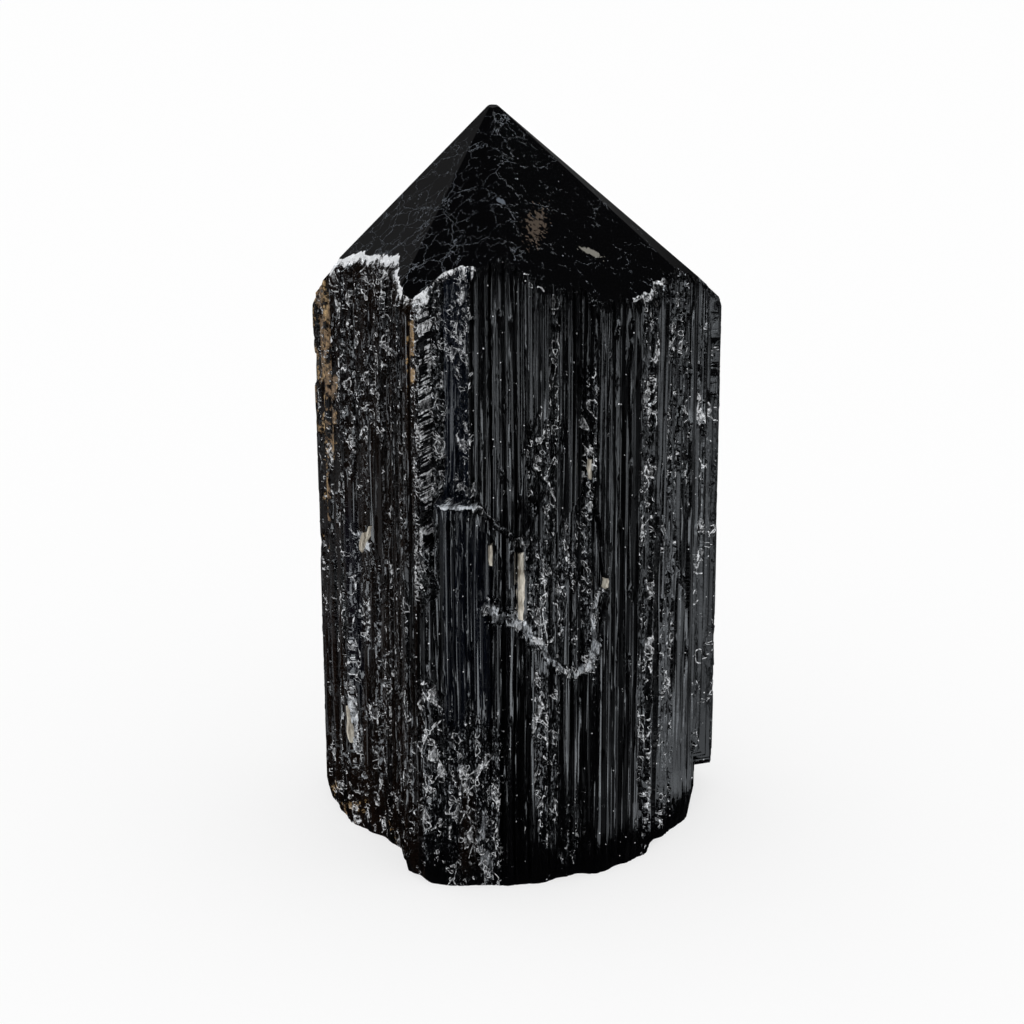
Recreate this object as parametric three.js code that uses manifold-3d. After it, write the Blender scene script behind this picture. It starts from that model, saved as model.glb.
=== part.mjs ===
// A black tourmaline tower: one natural crystal of schorl. Its striated prism sides are left as they grew,
// its foot is sawn flat so that it stands, and its top is ground and polished to a point.
// Millimetres, +Z up. It stands on z = 0, centred under its own bounding box, and its narrow front face
// looks along -Y.
import * as THREE from "three";
import { mergeVertices } from "three/addons/utils/BufferGeometryUtils.js";
import Module from "manifold-3d";

const wasm = await Module();
wasm.setup();

// ---- driving dimensions -------------------------------------------------------------------------------
const HEIGHT = 90; // foot to the blunted tip
const BLANK_HEIGHT = 96; // the prism before its point is ground
const WIDENING = 0.015; // how much wider the prism is at the tip's height than at its foot
const LEAN = -0.3; // how far the prism leans along X over the same height
const APEX = { x: -2.7, y: 1.7, z: 90.6 }; // where the point's facets would meet if it were sharp
const RIB_FLANK = 0.16; // how far a rib's side leans along its face
const OUTSIDE = 12; // how far a cutter reaches out past the crystal

// The prism's faces at the foot, anticlockwise seen from above. Each runs from its own corner to the next
// one's and carries growth ribs: [start, end, rise], in millimetres along the face and out of it. A
// negative rise is a groove.
const FACES = [
  {
    name: "left",
    corner: [-23.6, 5.6],
    ribs: [[0.9, 2.2, 0.35], [3.1, 4.0, -0.3], [5.2, 6.3, 0.25], [7.4, 8.3, -0.3]],
  },
  {
    name: "left_front",
    corner: [-20.6, -3.4],
    ribs: [[0.8, 1.7, 0.3], [2.6, 3.4, -0.35], [4.3, 5.7, 0.3], [6.6, 7.5, -0.25], [8.4, 9.6, 0.3]],
  },
  { name: "notch_wall", corner: [-13.8, -10.9], ribs: [[1.6, 2.6, 0.3], [3.9, 4.9, -0.25]] },
  { name: "front_corner", corner: [-13.0, -17.5], ribs: [[0.7, 1.5, 0.3], [2.4, 3.2, 0.25]] },
  { name: "front_left", corner: [-10.2, -20.8], ribs: [[0.5, 1.2, -0.3], [1.9, 2.8, 0.3]] },
  {
    name: "front",
    corner: [-6.6, -21.5],
    ribs: [
      [0.3, 1.1, -0.3], [1.7, 3.1, 0.45], [3.4, 3.9, -0.3], [4.4, 5.0, 0.3], [5.5, 6.9, 0.5],
      [7.0, 7.8, -0.5], [8.4, 9.0, 0.3],
    ],
  },
  { name: "front_bevel", corner: [2.8, -20.8], ribs: [[0.6, 1.2, 0.3], [2.0, 2.6, 0.3], [3.3, 3.8, 0.35]] },
  { name: "front_right", corner: [6.8, -18.6], ribs: [[0.3, 1.5, -0.7], [1.8, 3.4, 0.45]] },
  {
    name: "right_front",
    corner: [10.4, -17.5],
    ribs: [[0.0, 0.5, 0.45], [0.9, 1.7, 0.3], [2.0, 2.9, -0.6], [3.4, 4.4, 0.35], [5.0, 6.2, -0.35]],
  },
  {
    name: "right_step",
    corner: [15.4, -13.4],
    ribs: [[0.6, 1.5, 0.35], [2.0, 3.6, -0.35], [4.1, 4.9, 0.45], [5.1, 5.5, -0.5], [5.8, 7.2, 0.3]],
  },
  { name: "right_hollow", corner: [18.6, -6.4], ribs: [[0.8, 1.6, 0.3], [2.5, 3.1, -0.3]] },
  {
    name: "right",
    corner: [21.2, -3.0],
    ribs: [[0.4, 1.5, -0.3], [2.2, 3.1, 0.35], [4.0, 4.6, -0.45], [5.3, 6.6, 0.3]],
  },
  { name: "right_side", corner: [24.3, 3.4], ribs: [[0.8, 1.7, 0.35], [2.8, 3.5, -0.4], [4.5, 5.8, 0.3]] },
  {
    name: "back_right",
    corner: [24.1, 10.4],
    ribs: [[0.7, 1.9, 0.3], [2.7, 3.4, -0.35], [4.3, 5.8, 0.35], [6.6, 7.2, -0.3]],
  },
  {
    name: "back_bevel",
    corner: [19.0, 17.2],
    ribs: [[1.0, 2.4, 0.4], [3.2, 3.9, -0.35], [5.0, 6.7, 0.3], [7.6, 8.2, -0.3], [9.3, 11.0, 0.35]],
  },
  {
    name: "back",
    corner: [7.4, 20.7],
    ribs: [[0.9, 1.7, -0.35], [3.1, 4.8, 0.4], [5.9, 6.6, -0.3], [7.5, 8.1, -0.35], [9.0, 10.3, 0.35]],
  },
  {
    name: "back_left",
    corner: [-3.6, 21.5],
    ribs: [[1.2, 2.4, 0.3], [3.4, 4.1, -0.35], [5.3, 6.9, 0.3], [8.0, 8.7, -0.35], [9.6, 10.8, 0.3]],
  },
  { name: "left_bevel", corner: [-14.8, 19.3], ribs: [[0.9, 2.2, 0.35], [3.6, 4.3, -0.35], [5.6, 7.2, 0.3]] },
  { name: "left_back", corner: [-21.4, 13.3], ribs: [[1.1, 2.1, 0.35], [3.6, 4.4, -0.3], [5.6, 7.0, 0.3]] },
];

// The point's ground facets. Azimuth is the way a facet faces, anticlockwise from the front seen from
// above, and slope is its tilt from level.
const FACETS = [
  { azimuth: -61.6, slope: 43.8 },
  { azimuth: -46.6, slope: 40.3 },
  { azimuth: 49.8, slope: 39.5 },
  { azimuth: 89, slope: 39.9 },
  { azimuth: 109, slope: 43.0 },
  { azimuth: 166, slope: 43 },
  { azimuth: -152, slope: 44 },
  { azimuth: -109, slope: 49 },
];

// Where the outer skin has broken away along the grain. Each is an outline [along, height] on the upright
// plane that faces azimuth through the point at, and everything outside that plane within it is gone.
const FLAKES = [
  {
    name: "recess_over_the_ledge",
    at: [-5.5, -19.4],
    azimuth: -14,
    outline: [[-4.7, 43.6], [-3.5, 43.2], [-3.3, 48.9], [-1.0, 48.5], [0.6, 48.8], [0.6, 101], [-4.7, 101]],
  },
  {
    name: "recess_over_the_slope",
    at: [-4.9, -20.55],
    azimuth: -2,
    outline: [
      [-0.2, 48.7], [1.2, 47.5], [2.6, 46.1], [4.6, 44.4], [5.4, 46.5], [6.2, 55], [7.6, 60], [7.6, 101],
      [-0.2, 101],
    ],
  },
  {
    name: "hollow_under_the_ledge",
    at: [-2.9, -20.5],
    azimuth: 5,
    outline: [[-1.6, 36.4], [-0.2, 35.6], [1.0, 36.8], [1.3, 42.0], [0.2, 44.9], [-1.3, 45.6]],
  },
  {
    name: "scar_on_the_front",
    at: [4.5, -19.1],
    azimuth: 22,
    outline: [
      [-7.0, 37.0], [-4.6, 33.6], [-2.4, 30.8], [-0.2, 28.2], [2.2, 27.3], [4.6, 28.6], [5.6, 31.2], [6.3, 35.4],
      [5.4, 43.0], [4.4, 50.6], [2.6, 48.0], [0.6, 45.8], [-1.8, 42.2], [-4.2, 40.0],
    ],
  },
  {
    name: "pit_in_the_left_face",
    at: [-15.6, -8.5],
    azimuth: -47,
    outline: [[-1.7, 32.4], [0.2, 31.2], [1.8, 32.6], [2.0, 36.0], [0.4, 37.6], [-1.5, 36.2]],
  },
  {
    name: "nick_in_the_left_edge",
    at: [-23.6, 5.5],
    azimuth: -84,
    outline: [[-6, 54.2], [-2, 54.8], [3, 53.9], [6, 54.6], [6, 58.2], [2, 58.8], [-3, 58.0], [-6, 58.6]],
  },
  {
    name: "slot_at_the_top_right",
    at: [22.8, 1.2],
    azimuth: 65,
    outline: [[-1.0, 54.6], [1.0, 54.1], [1.3, 61.6], [0.6, 64.2], [-0.8, 63.4]],
  },
  {
    name: "broken_foot_of_the_right_ribs",
    at: [21.7, 0.0],
    azimuth: 84,
    outline: [[-8, -2], [13, -2], [13, 4.0], [9, 4.6], [6, 6.6], [3, 5.2], [0.8, 8.0], [-1.6, 8.6], [-8, 7.5]],
  },
  {
    name: "flake_on_the_back_right",
    at: [20.6, 12.5],
    azimuth: 132,
    outline: [[-3.2, 20.0], [1.4, 22.4], [3.6, 30.5], [2.8, 44.0], [-0.4, 47.5], [-2.4, 38.0]],
  },
  {
    name: "recess_on_the_back",
    at: [-5.0, 20.3],
    azimuth: 187,
    outline: [[-5.5, 34.5], [-1.0, 33.0], [3.2, 35.4], [5.8, 34.4], [5.8, 101], [-5.5, 101]],
  },
  {
    name: "flake_low_on_the_back",
    at: [7.6, 19.8],
    azimuth: 171,
    outline: [[-6.0, -2], [4.6, -2], [3.8, 5.6], [1.2, 12.4], [-2.4, 9.6], [-5.2, 4.0]],
  },
];

// Chips knocked out of the foot's edge and the point's rim: where, and how big.
const CHIPS = [
  { at: [-4.2, -21.9, -0.2], radius: 0.9 },
  { at: [5.3, -19.9, -0.2], radius: 1.0 },
  { at: [17.3, -9.2, -0.3], radius: 1.1 },
  { at: [-16.9, -7.8, -0.4], radius: 1.0 },
  { at: [-12.1, -19.3, 0.2], radius: 1.3 },
  { at: [-23.4, 6.8, 0.4], radius: 1.7 },
  { at: [0.9, 21.6, -0.2], radius: 1.5 },
  { at: [-18.0, 16.8, 0.0], radius: 1.3 },
  { at: [21.9, 13.8, 0.0], radius: 1.5 },
  { at: [16.0, -12.6, 72.2], radius: 1.1 },
  { at: [8.8, -18.6, 72.4], radius: 0.8 },
  { at: [-17.9, -6.4, 73.0], radius: 1.0 },
  { at: [-13.4, -12.4, 74.4], radius: 1.2 },
];

// ---- helpers ------------------------------------------------------------------------------------------
const radians = THREE.MathUtils.degToRad;

// A closed three.js geometry as a manifold-3d solid, so that it can be cut.
function solid(geometry) {
  const bare = geometry.index ? geometry.toNonIndexed() : geometry.clone();
  bare.deleteAttribute("normal");
  bare.deleteAttribute("uv");
  const merged = mergeVertices(bare, 1e-4);
  return new wasm.Manifold(
    new wasm.Mesh({
      numProp: 3,
      vertProperties: merged.attributes.position.array,
      triVerts: new Uint32Array(merged.index.array),
    }),
  );
}

// A manifold-3d solid as a flat-shaded three.js geometry.
function geometryOf(manifold) {
  const mesh = manifold.getMesh();
  const geometry = new THREE.BufferGeometry()
    .setAttribute("position", new THREE.BufferAttribute(mesh.vertProperties, 3))
    .setIndex(new THREE.BufferAttribute(mesh.triVerts, 1))
    .toNonIndexed();
  geometry.computeVertexNormals();
  return geometry;
}

// ---- the crystal's own shapes -------------------------------------------------------------------------

// One face's outline, from its corner to just before the next, stepping out and in over its ribs.
function faceOutline(face, nextCorner) {
  const start = new THREE.Vector2(...face.corner);
  const along = new THREE.Vector2(...nextCorner).sub(start).normalize();
  const outward = new THREE.Vector2(along.y, -along.x);
  const point = (distance, rise) =>
    start.clone().addScaledVector(along, distance).addScaledVector(outward, rise);
  const ribPoints = ([from, to, rise]) => [
    point(from, 0),
    point(from + RIB_FLANK, rise),
    point(to - RIB_FLANK, rise),
    point(to, 0),
  ];
  return [start, ...face.ribs.flatMap(ribPoints)];
}

// The whole prism, its ribs and grooves running its full height, a little wider at the top and leaning.
function prism() {
  const outline = FACES.flatMap((face, i) => faceOutline(face, FACES[(i + 1) % FACES.length].corner));
  const geometry = new THREE.ExtrudeGeometry(new THREE.Shape(outline), {
    depth: BLANK_HEIGHT,
    bevelEnabled: false,
  });
  const taper = new THREE.Matrix4();
  const positions = geometry.attributes.position;
  const vertex = new THREE.Vector3();
  for (let i = 0; i < positions.count; i += 1) {
    vertex.fromBufferAttribute(positions, i);
    const up = vertex.z / HEIGHT;
    taper.makeScale(1 + WIDENING * up, 1 + WIDENING * up, 1).setPosition(LEAN * up, 0, 0);
    vertex.applyMatrix4(taper);
    positions.setXYZ(i, vertex.x, vertex.y, vertex.z);
  }
  return solid(geometry);
}

// The waste that grinding one facet takes off: a block whose underside is the facet's plane.
function facetWaste({ azimuth, slope }) {
  const side = 4 * BLANK_HEIGHT;
  const block = new THREE.BoxGeometry(side, side, side).translate(0, 0, side / 2);
  block.rotateX(radians(slope)).rotateZ(radians(azimuth));
  return solid(block.translate(APEX.x, APEX.y, APEX.z));
}

// The waste above the blunted tip.
function tipWaste() {
  const side = 2 * BLANK_HEIGHT;
  return solid(new THREE.BoxGeometry(side, side, side).translate(0, 0, HEIGHT + side / 2));
}

// A broken-away flake: its outline stood upright, reaching outwards from its own plane.
function flake({ at, azimuth, outline }) {
  const shape = new THREE.Shape(outline.map(([along, height]) => new THREE.Vector2(along, height)));
  const slab = new THREE.ExtrudeGeometry(shape, { depth: OUTSIDE, bevelEnabled: false });
  slab.rotateX(Math.PI / 2).rotateZ(radians(azimuth));
  return solid(slab.translate(at[0], at[1], 0));
}

// A chip: a coarse rounded bite, each turned a different way.
function chip({ at, radius }, i) {
  const bite = new THREE.IcosahedronGeometry(radius, 0).scale(1.3, 1.1, 0.9);
  return solid(bite.rotateZ(i).rotateX(0.7 * i).translate(...at));
}

function crystal() {
  const waste = [...FACETS.map(facetWaste), tipWaste(), ...FLAKES.map(flake), ...CHIPS.map(chip)];
  const cut = waste.reduce((body, piece) => body.subtract(piece), prism());
  const geometry = geometryOf(cut);
  geometry.computeBoundingBox();
  const middle = geometry.boundingBox.getCenter(new THREE.Vector3());
  return geometry.translate(-middle.x, -middle.y, 0);
}

// ---- the part -----------------------------------------------------------------------------------------
const schorl = new THREE.MeshStandardMaterial({ color: 0x141416, roughness: 0.25, metalness: 0 });

const part = new THREE.Group();
const body = new THREE.Mesh(crystal(), schorl);
body.name = "crystal";
part.add(body);

export default part;
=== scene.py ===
import math

import bmesh
import bpy
import numpy as np
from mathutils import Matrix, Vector
from mathutils.bvhtree import BVHTree


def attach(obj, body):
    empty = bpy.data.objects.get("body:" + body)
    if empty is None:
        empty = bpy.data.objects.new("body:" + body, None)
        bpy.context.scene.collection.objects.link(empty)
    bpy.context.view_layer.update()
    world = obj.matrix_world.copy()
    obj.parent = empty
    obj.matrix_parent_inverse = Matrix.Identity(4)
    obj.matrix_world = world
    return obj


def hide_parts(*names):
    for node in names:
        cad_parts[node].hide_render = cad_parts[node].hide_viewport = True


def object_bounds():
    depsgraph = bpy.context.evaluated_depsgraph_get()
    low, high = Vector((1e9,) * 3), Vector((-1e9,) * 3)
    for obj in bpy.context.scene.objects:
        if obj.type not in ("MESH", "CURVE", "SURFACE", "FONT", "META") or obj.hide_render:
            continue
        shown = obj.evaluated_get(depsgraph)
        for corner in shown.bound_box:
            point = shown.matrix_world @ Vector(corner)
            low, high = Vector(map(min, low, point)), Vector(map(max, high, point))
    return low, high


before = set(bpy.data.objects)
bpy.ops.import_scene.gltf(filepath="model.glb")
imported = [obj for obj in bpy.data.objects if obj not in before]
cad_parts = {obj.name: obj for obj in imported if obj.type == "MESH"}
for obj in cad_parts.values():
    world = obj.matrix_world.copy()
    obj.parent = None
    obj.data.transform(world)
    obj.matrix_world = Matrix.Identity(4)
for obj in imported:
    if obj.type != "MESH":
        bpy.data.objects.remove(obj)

CAD_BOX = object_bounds()
MM = 0.001

# ---- sizes, in millimetres ----------------------------------------------------------------------------
GIRTH_RADIUS = 22.5  # turns an angle round the crystal into a length along its skin
COLUMNS = 1280  # skin points in one turn
ROW_STEP = 0.25  # height between two rows of them
WRAP_TOP = 85.0  # the skin is carried up to here before the point is ground through it
RIM_SEARCH = 58.0  # the ground point starts well above this height
FACET_AREA = 15.0  # square millimetres that the smallest facet of the point has
FACET_GAP = 0.03  # what lies this close to a facet's plane is part of the facet
REACH = 60.0  # rays start this far out from the axis
FOOT_WEAR = 3.0  # the ribs are worn down over this height above the foot
RIM_WEAR = 2.5  # and over this height under the rim, where it has crumbled
RIM_LOSS = 0.3  # the rim counts as crumbled where it lost more than this
WEAR_WIDTH = 2.4  # worn skin is evened out over this width
SEED = 7.0  # the seed of the growth
FINE_SEED = 3.7  # and of its fine ribs
CHIP = 0.9  # width of a common chip
CHIP_SQUAT = 0.55  # its width as a share of its height
BROAD_CHIP = 1.8
BROAD_CHIP_SQUAT = 0.45
FEATHER = 0.5  # width of the slanting chips in the feathered seams
CHIP_TILT = 2.4  # how steeply the flats of the chips lie
TRIANGLES = 192000  # what is left after flat stretches are thinned
CREASE = math.radians(32)  # a sharper edge than this one stays crisp

# ---- where the skin is broken or stained --------------------------------------------------------------
# Each mark is (from degrees, to degrees, from mm, to mm, strength). Degrees run round the crystal from
# its front, anticlockwise seen from above, and millimetres run up from its foot.
MARKS = {
    "broken": [
        (-126, -84, 0, 76, 0.28), (-100, -64, 0, 11, 0.42), (-84, -66, 0, 76, 0.32), (-82, -36, 52, 76, 0.40),
        (-66, -47, 0, 30, 0.38), (-58, -33, 30, 76, 0.28), (-47, -31, 0, 30, 0.34), (-31, -24, 36, 76, 0.62),
        (-30, -22, 2, 26, 0.45), (-22, -13, 0, 22, 0.55), (-21, -14, 48, 74, 0.5), (-13, -5, 0, 22, 0.62),
        (2, 21, 29, 46, 0.36), (3, 12, 46, 58, 0.7), (5, 14, 6, 26, 0.45), (9, 14, 56, 74, 0.35),
        (14, 22, 0, 12, 0.35), (22.5, 26, 26, 66, 0.6), (45, 57, 0, 76, 0.46), (59, 70, 2, 44, 0.34),
        (62, 79, 44, 76, 0.36), (66, 71, 20, 60, 0.3), (84, 106, 0, 68, 0.26), (118, 130, 8, 70, 0.45),
        (146, 158, 0, 50, 0.5), (170, 186, 28, 70, 0.42), (196, 206, 0, 34, 0.55), (214, 226, 20, 66, 0.36),
    ],
    "feathered": [
        (-31, -24.5, 38, 74, 0.8), (-26, -16, 65, 74, 0.6), (-19, -16, 52, 65, 0.5), (132, 139, 24, 72, 0.8),
        (206, 213, 14, 60, 0.7),
    ],
    "glassy": [
        (-45, -37, 0, 36, 0.9), (-24, -19, 49, 74, 0.9), (-14, -9, 48, 80, 0.9), (-2.5, 1.5, 46, 80, 0.9),
        (27, 34, 2, 76, 1.0), (41, 45, 4, 74, 0.8), (58, 66, 4, 70, 0.3), (72, 80, 4, 70, 0.3),
        (108, 117, 4, 70, 0.8), (160, 169, 6, 74, 0.8), (187, 195, 10, 74, 0.8),
    ],
    "brown": [
        (-128, -29, 0, 76, 0.8), (-45, -37, 0, 36, 1.0), (-19, -12, 2, 14, 0.6), (196, 230, 0, 50, 0.6),
    ],
    "blue": [
        (-78, -71, 18, 42, 0.8), (-24.5, -15, 48, 76, 1.0), (-22, -8, 22, 46, 0.5), (100, 120, 10, 60, 0.6),
    ],
    "tan": [
        (-116, -96, 30, 52, 0.5), (-111, -101, 52, 63, 0.7), (-106, -95, 62, 74, 0.76),
        (-104, -97, 44, 60, 0.62), (-100, -62, 0, 5, 0.62), (-99, -86, 55, 71, 0.84), (-97, -89, 40, 57, 0.7),
        (-94, -90, 32, 44, 0.66), (-93, -81, 46, 59, 0.78), (-90, -84, 60, 66, 0.7), (-62, -44, 0, 3, 0.55),
        (-33.5, -29.5, 60, 73, 0.8), (206, 216, 30, 46, 0.6),
    ],
    "pale": [
        (-100, -72, 0, 9, 0.35), (-22, -17, 0, 14, 0.35), (-13, -7, 0, 12, 0.7), (150, 158, 4, 22, 0.5),
    ],
}
# Torn edges of the outer skin: a line of (degrees, mm) points, the tear's half width in mm, its strength.
TEARS = [
    ([(-23.0, 48.5), (-12.5, 48.3)], 0.34, 1.0),
    ([(-12.5, 48.3), (-5.6, 45.9), (-0.5, 44.4), (2.0, 43.7)], 0.2, 0.78),
    ([(-9.0, 36.2), (-5.5, 34.5), (-0.8, 34.7), (5.8, 31.2)], 0.8, 0.8),
    ([(7.6, 31.0), (10.7, 28.6), (14.4, 27.3), (20.9, 26.2)], 0.5, 0.8),
    ([(20.9, 26.2), (24.8, 27.4), (27.0, 30.0), (26.2, 34.0), (29.5, 36.5)], 0.5, 0.8),
    ([(24.8, 27.4), (23.4, 43.0), (24.3, 51.7)], 0.45, 0.55),
    ([(4.5, 44.0), (8.6, 41.0), (9.0, 37.0)], 0.7, 0.55),
    ([(16.6, 41.5), (15.0, 39.0)], 0.8, 0.5),
    ([(-70.0, 39.6), (-67.5, 38.2)], 0.6, 1.0),
    ([(-66.7, 36.5), (-62.0, 33.6), (-55.0, 32.5)], 0.6, 0.6),
    ([(-77.0, 17.5), (-76.0, 10.5)], 0.45, 0.8),
    ([(-66.5, 13.0), (-63.5, 8.5), (-64.5, 5.5)], 0.4, 0.6),
    ([(-87.0, 8.6), (-79.0, 9.2), (-71.0, 7.4)], 0.35, 0.8),
    ([(68.0, 39.0), (73.0, 35.5), (78.0, 29.0)], 0.3, 0.6),
    ([(-90.0, 72.0), (-76.9, 71.6)], 0.3, 0.6),
    ([(160.0, 51.0), (170.0, 49.5), (184.0, 52.0)], 0.45, 0.8),
    ([(118.0, 31.0), (127.0, 27.0), (136.0, 31.0)], 0.5, 0.7),
    ([(212.0, 46.0), (224.0, 42.0), (229.0, 43.5)], 0.5, 0.7),
]
# Splinters of pale feldspar caught in the skin: (degrees, bottom mm, top mm, width mm, lean in degrees).
SPLINTERS = [
    (0.8, 34.4, 42.6, 1.0, 0.4), (-8.6, 41.1, 43.6, 0.6, 0.0), (-68.8, 37.6, 40.0, 1.1, 1.5),
    (-67.0, 38.8, 41.0, 0.6, 2.0), (-77.4, 11.5, 16.2, 0.5, -1.0), (30.0, 36.8, 38.2, 0.45, 0.0),
    (24.0, 50.8, 53.2, 0.5, 0.0), (141.0, 36.0, 41.0, 0.9, 1.0), (203.0, 51.0, 53.6, 0.7, -0.5),
]
# Spots in the polish: (centre in mm from the foot's middle, half size, raggedness, colour). They slant down
# to the right as the crystal's grain does there.
STAIN_SLANT = 0.46
STAINS = [
    ((2.0, -13.2, 79.5), (0.9, 2.8, 1.6), 7.0, "#4d443c"),
    ((8.3, -12.1, 76.1), (1.6, 1.5, 0.24), 3.0, "#7d7b74"),
    ((-2.0, -12.7, 82.3), (0.7, 1.5, 0.2), 1.5, "#5d636b"),
    ((-6.0, 12.0, 80.0), (2.4, 1.6, 1.4), 7.0, "#4d443c"),
]
# The rim under the ground point, where the polished edge has crumbled: (from, to, depth in mm).
RIM_BREAKS = [
    (-90, -60, 0.6), (-60, -36, 0.7), (-36, -13, 0.42), (-13, 40, 0.15), (40, 62, 0.4), (62, 100, 0.2),
    (100, 150, 0.4), (150, 200, 0.48), (200, 260, 0.42),
]
RIM_BREAK_HEIGHT = 1.5  # how far down the skin that reaches

# ---- the camera, in degrees and millimetres -----------------------------------------------------------
CAMERA_RISE = math.radians(20)
CAMERA_DISTANCE = 400.0
CAMERA_AIM = (-0.7, -5.95, 42.1)
LENS = 117.2

# ---- the crystal's finishes, by their slots -----------------------------------------------------------
NATURAL, POLISHED, SAWN, SPLINTER = range(4)
SCHORL_IOR = 1.63
FELDSPAR_IOR = 1.53

LAID_OVER = {"data_type": "RGBA", "out": 2}  # the Mix node's settings that lay one colour over another


def linear(colour):
    """The linear colour of an sRGB hex value."""
    channels = [int(colour[i : i + 2], 16) / 255 for i in (1, 3, 5)]
    return [c / 12.92 if c <= 0.04045 else ((c + 0.055) / 1.055) ** 2.4 for c in channels] + [1.0]


def add(tree, kind, inputs=(), out=0, **settings):
    """Adds a node with its settings and fills its inputs with values or links. Returns one of its outputs."""
    node = tree.nodes.new(kind)
    for name, value in settings.items():
        setattr(node, name, value)
    pairs = inputs.items() if isinstance(inputs, dict) else enumerate(inputs)
    for key, value in pairs:
        if isinstance(value, bpy.types.NodeSocket):
            tree.links.new(value, node.inputs[key])
        elif value is not None:
            node.inputs[key].default_value = value
    return node.outputs[out] if node.outputs else node


def smooth(value, low, high):
    """0 below low, 1 above high, and an even curve between them."""
    t = np.clip((value - low) / (high - low), 0, 1)
    return t * t * (3 - 2 * t)


WAVE_STRENGTHS = (1.0, 0.6, 0.4, 0.3)


def wander(first, second, seed):
    """A soft wavering field from -1 to 1 over two coordinates, both in turns."""
    rng = np.random.default_rng(seed)
    total = np.zeros(np.broadcast(first, second).shape)
    for strength in WAVE_STRENGTHS:
        k = rng.normal(size=2) / strength
        phase = rng.uniform(0, 6.3)
        total = total + strength * np.sin(2 * math.pi * (k[0] * first + k[1] * second) + phase)
    return total / sum(WAVE_STRENGTHS)


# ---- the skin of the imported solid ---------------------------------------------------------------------
def ground_planes(mesh):
    """The planes of the ground point's facets, as (normal, distance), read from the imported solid."""
    areas = {}
    for face in mesh.polygons:
        if 0.5 < face.normal.z < 0.95 and face.center.z > RIM_SEARCH * MM:
            distance = face.normal.dot(face.center)
            key = tuple(round(n, 2) for n in face.normal) + (round(distance / MM, 1),)
            area, normal = areas.get(key, (0.0, None))
            areas[key] = (area + face.area, normal or (face.normal.copy(), distance))
    return [plane for area, plane in areas.values() if area > FACET_AREA * MM * MM]


def wrap(cad, planes):
    """The distance from the axis to the skin in each row and column, and the rim's height in each column."""
    tree = BVHTree.FromPolygons([v.co for v in cad.vertices], [list(p.vertices) for p in cad.polygons])
    angles = np.arange(COLUMNS) * 2 * math.pi / COLUMNS - math.pi
    heights = np.arange(int(WRAP_TOP / ROW_STEP) + 1) * ROW_STEP
    radius = np.zeros((len(heights), COLUMNS))
    rim = np.full(COLUMNS, WRAP_TOP)
    for column, angle in enumerate(angles):
        out = Vector((math.sin(angle), -math.cos(angle), 0))
        for row, height in enumerate(heights):
            start = out * REACH * MM + Vector((0, 0, max(height, 0.02) * MM))
            hit = tree.ray_cast(start, -out)[0]
            on_point = hit is None
            if hit is not None and height > RIM_SEARCH:
                on_point = any(abs(n.dot(hit) - d) < FACET_GAP * MM for n, d in planes)
            if on_point:
                radius[row:, column] = radius[row - 1, column]
                rim[column] = height
                break
            radius[row, column] = math.hypot(hit.x, hit.y) / MM
    column_width = 2 * math.pi * GIRTH_RADIUS / COLUMNS
    half = round(WEAR_WIDTH / 2 / column_width)
    even = sum(np.roll(radius, shift, axis=1) for shift in range(-half, half + 1)) / (2 * half + 1)
    keep = smooth(heights, -0.5, FOOT_WEAR)[:, None]
    below_rim = smooth(rim[None, :] - heights[:, None], 0.3, RIM_WEAR)
    keep = keep * np.where(rim_break(np.degrees(angles)) > RIM_LOSS, below_rim, 1.0)
    return angles, heights, radius * keep + even * (1 - keep), rim


def mark_field(name, degrees, height):
    """How strongly the marks of one name show at each place, from 0 to 1, with wavering edges."""
    shift = wander(degrees / 30, height / 18, 3) * 1.1
    field = np.zeros(degrees.shape)
    for start, end, bottom, top, strength in MARKS[name]:
        off = np.abs((degrees + shift - (start + end) / 2 + 180) % 360 - 180)
        half = (end - start) / 2
        across = 1 - smooth(off, half - 1.0, half + 0.6)
        rise = height + wander(degrees / 9, height / 30, 5) * 2.5
        upright = smooth(rise, bottom - 1.5, bottom + 1.5) * (1 - smooth(rise, top - 1.5, top + 1.5))
        field = np.maximum(field, across * upright * strength)
    return field


def tear_field(degrees, height):
    """How strongly the torn edges show at each place, from 0 to 1, with ragged sides."""
    wobble = 0.6 * wander(degrees / 2.2, height / 1.3, 11)
    lift = 0.25 * wander(degrees / 4, height / 3, 12)
    field = np.zeros(degrees.shape)
    for points, half_width, strength in TEARS:
        for (x0, z0), (x1, z1) in zip(points, points[1:]):
            across = np.radians((degrees - x0 + 180) % 360 - 180) * GIRTH_RADIUS
            up = height + lift - z0
            run = math.radians(x1 - x0) * GIRTH_RADIUS
            rise = z1 - z0
            share = np.clip((across * run + up * rise) / (run * run + rise * rise), 0, 1)
            away = np.hypot(across - share * run, up - share * rise)
            reach = half_width * (1 + min(half_width / 0.8, 1) * wobble)
            field = np.maximum(field, strength * (1 - smooth(away, 0.6 * reach, 1.4 * reach)))
    return field


def rim_break(degrees):
    """How deep the rim has crumbled round the crystal, in millimetres."""
    depth = np.zeros(degrees.shape)
    for start, end, amount in RIM_BREAKS:
        off = np.abs((degrees - (start + end) / 2 + 180) % 360 - 180)
        half = (end - start) / 2
        depth = np.maximum(depth, amount * (1 - smooth(off, half - 1.5, half + 1.5)))
    return depth


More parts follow.
